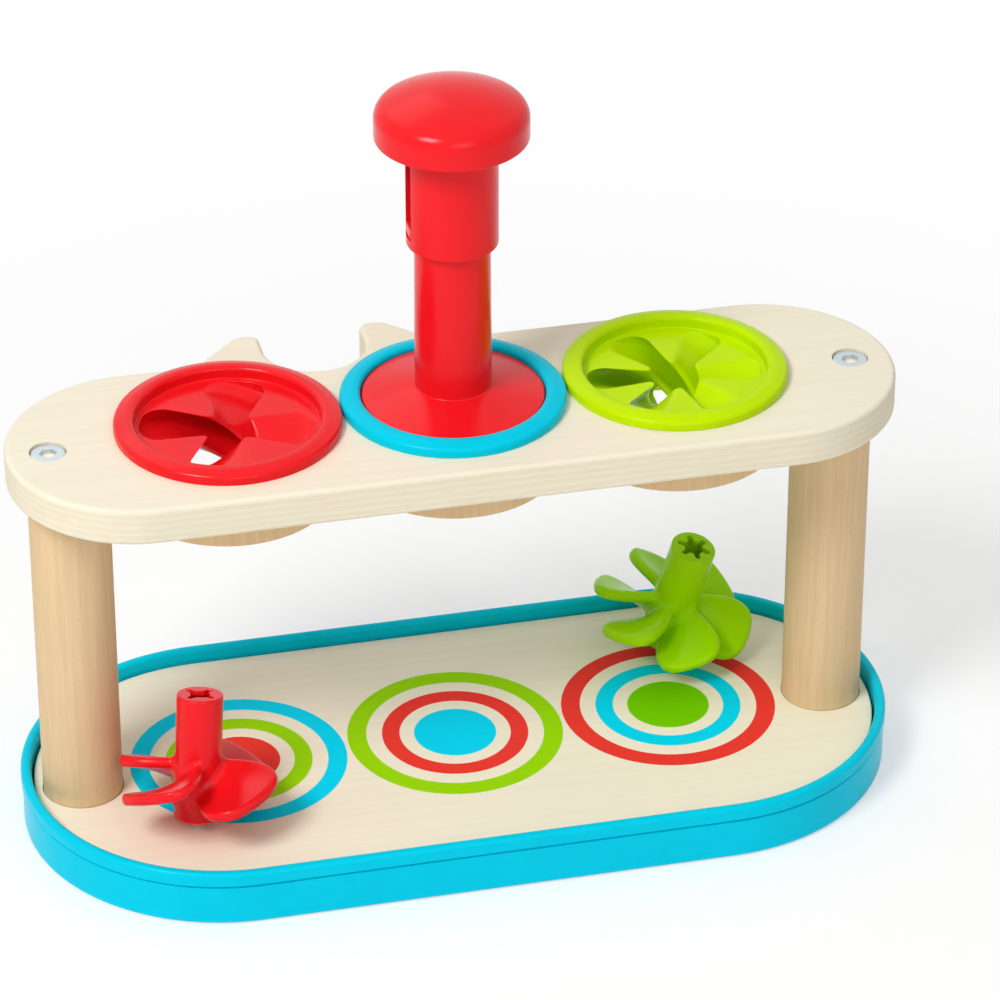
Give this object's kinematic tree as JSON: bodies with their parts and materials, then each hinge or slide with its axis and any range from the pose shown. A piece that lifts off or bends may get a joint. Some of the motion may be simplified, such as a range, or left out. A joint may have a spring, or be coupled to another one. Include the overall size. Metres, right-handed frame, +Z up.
{
  "type": "push-down spinning top launcher",
  "caption": "Wooden stand with slotted cups, a spring plunger and bladed tops: pressing the knob screws a top down through its cup so that it drops spinning onto the base.",
  "frame": {"origin": "middle of the base's underside, on the surface that it stands on", "axes": "+X along the row of cups towards the green cup, +Z up, front of the stand towards -Y"},
  "size_m": [0.278, 0.129, 0.244],
  "materials": {
    "plywood": "clear satin lacquer over pale plywood",
    "beech": "smooth sanded beech",
    "blue_plastic": "satin moulded",
    "red_plastic": "satin moulded",
    "lime_plastic": "satin moulded",
    "leaf_plastic": "satin moulded",
    "nylon": "natural nylon",
    "zinc_steel": "zinc plated"
  },
  "bodies": {
    "stand": {"base_board": "plywood", "base_rim": "blue_plastic", "left_post": "beech", "right_post": "beech", "shelf": "plywood", "red_collar": "beech", "blue_collar": "beech", "green_collar": "beech", "red_cup": "red_plastic", "blue_cup": "blue_plastic", "green_cup": "lime_plastic", "shelf_bolts": "zinc_steel", "base_bolts": "zinc_steel", "post_inserts": "zinc_steel"},
    "plunger": {"guide_tube": "red_plastic", "return_spring": "zinc_steel"},
    "push_knob": {"sleeve": "red_plastic", "knob": "red_plastic", "drive_rod": "nylon"},
    "red_pivot": {"red_top_pivot": "zinc_steel"},
    "red_spinner": {"red_top": "red_plastic"},
    "blue_pivot": {"blue_top_pivot": "zinc_steel"},
    "blue_spinner": {"blue_top": "blue_plastic"},
    "green_pivot": {"green_top_pivot": "zinc_steel"},
    "green_spinner": {"green_top": "leaf_plastic"}
  },
  "joints": [
    {"name": "plunger_lift", "type": "slide", "parent": "stand", "child": "plunger", "axis": [0, 0, 1], "range_m": [0, 0.08]},
    {"name": "knob_press", "type": "slide", "parent": "plunger", "child": "push_knob", "axis": [0, 0, -1], "range_m": [0, 0.028], "stiffness_N_per_m": 150, "springref_m": -0.012, "deforming": ["return_spring"]},
    {"name": "blue_top_drop", "type": "slide", "parent": "stand", "child": "blue_pivot", "axis": [0, 0, -1], "range_m": [0, 0.014]},
    {"name": "blue_top_spin", "type": "hinge", "parent": "blue_pivot", "child": "blue_spinner", "pos_m": [0, 0.0025, 0.1135], "axis": [0, 0, 1], "range_deg": [-84.1, 0]},
    {"name": "red_top_lift", "type": "slide", "parent": "stand", "child": "red_pivot", "axis": [0, -0.9063, 0.4226], "range_m": [0, 0.12]},
    {"name": "red_top_spin", "type": "hinge", "parent": "red_pivot", "child": "red_spinner", "pos_m": [-0.0893, -0.0309, 0.0159], "axis": [0.0938, 0.2321, 0.9681], "continuous": true},
    {"name": "green_top_lift", "type": "slide", "parent": "stand", "child": "green_pivot", "axis": [0, 0.9063, 0.4226], "range_m": [0, 0.12]},
    {"name": "green_top_spin", "type": "hinge", "parent": "green_pivot", "child": "green_spinner", "pos_m": [0.076, 0.0358, 0.0159], "axis": [0.1937, -0.2077, 0.9588], "continuous": true}
  ],
  "couplings": [
    {"joint": "blue_top_drop", "follows": "knob_press", "ratio": 0.5},
    {"joint": "blue_top_spin", "follows": "knob_press", "rad_per_m": -52.36}
  ]
}
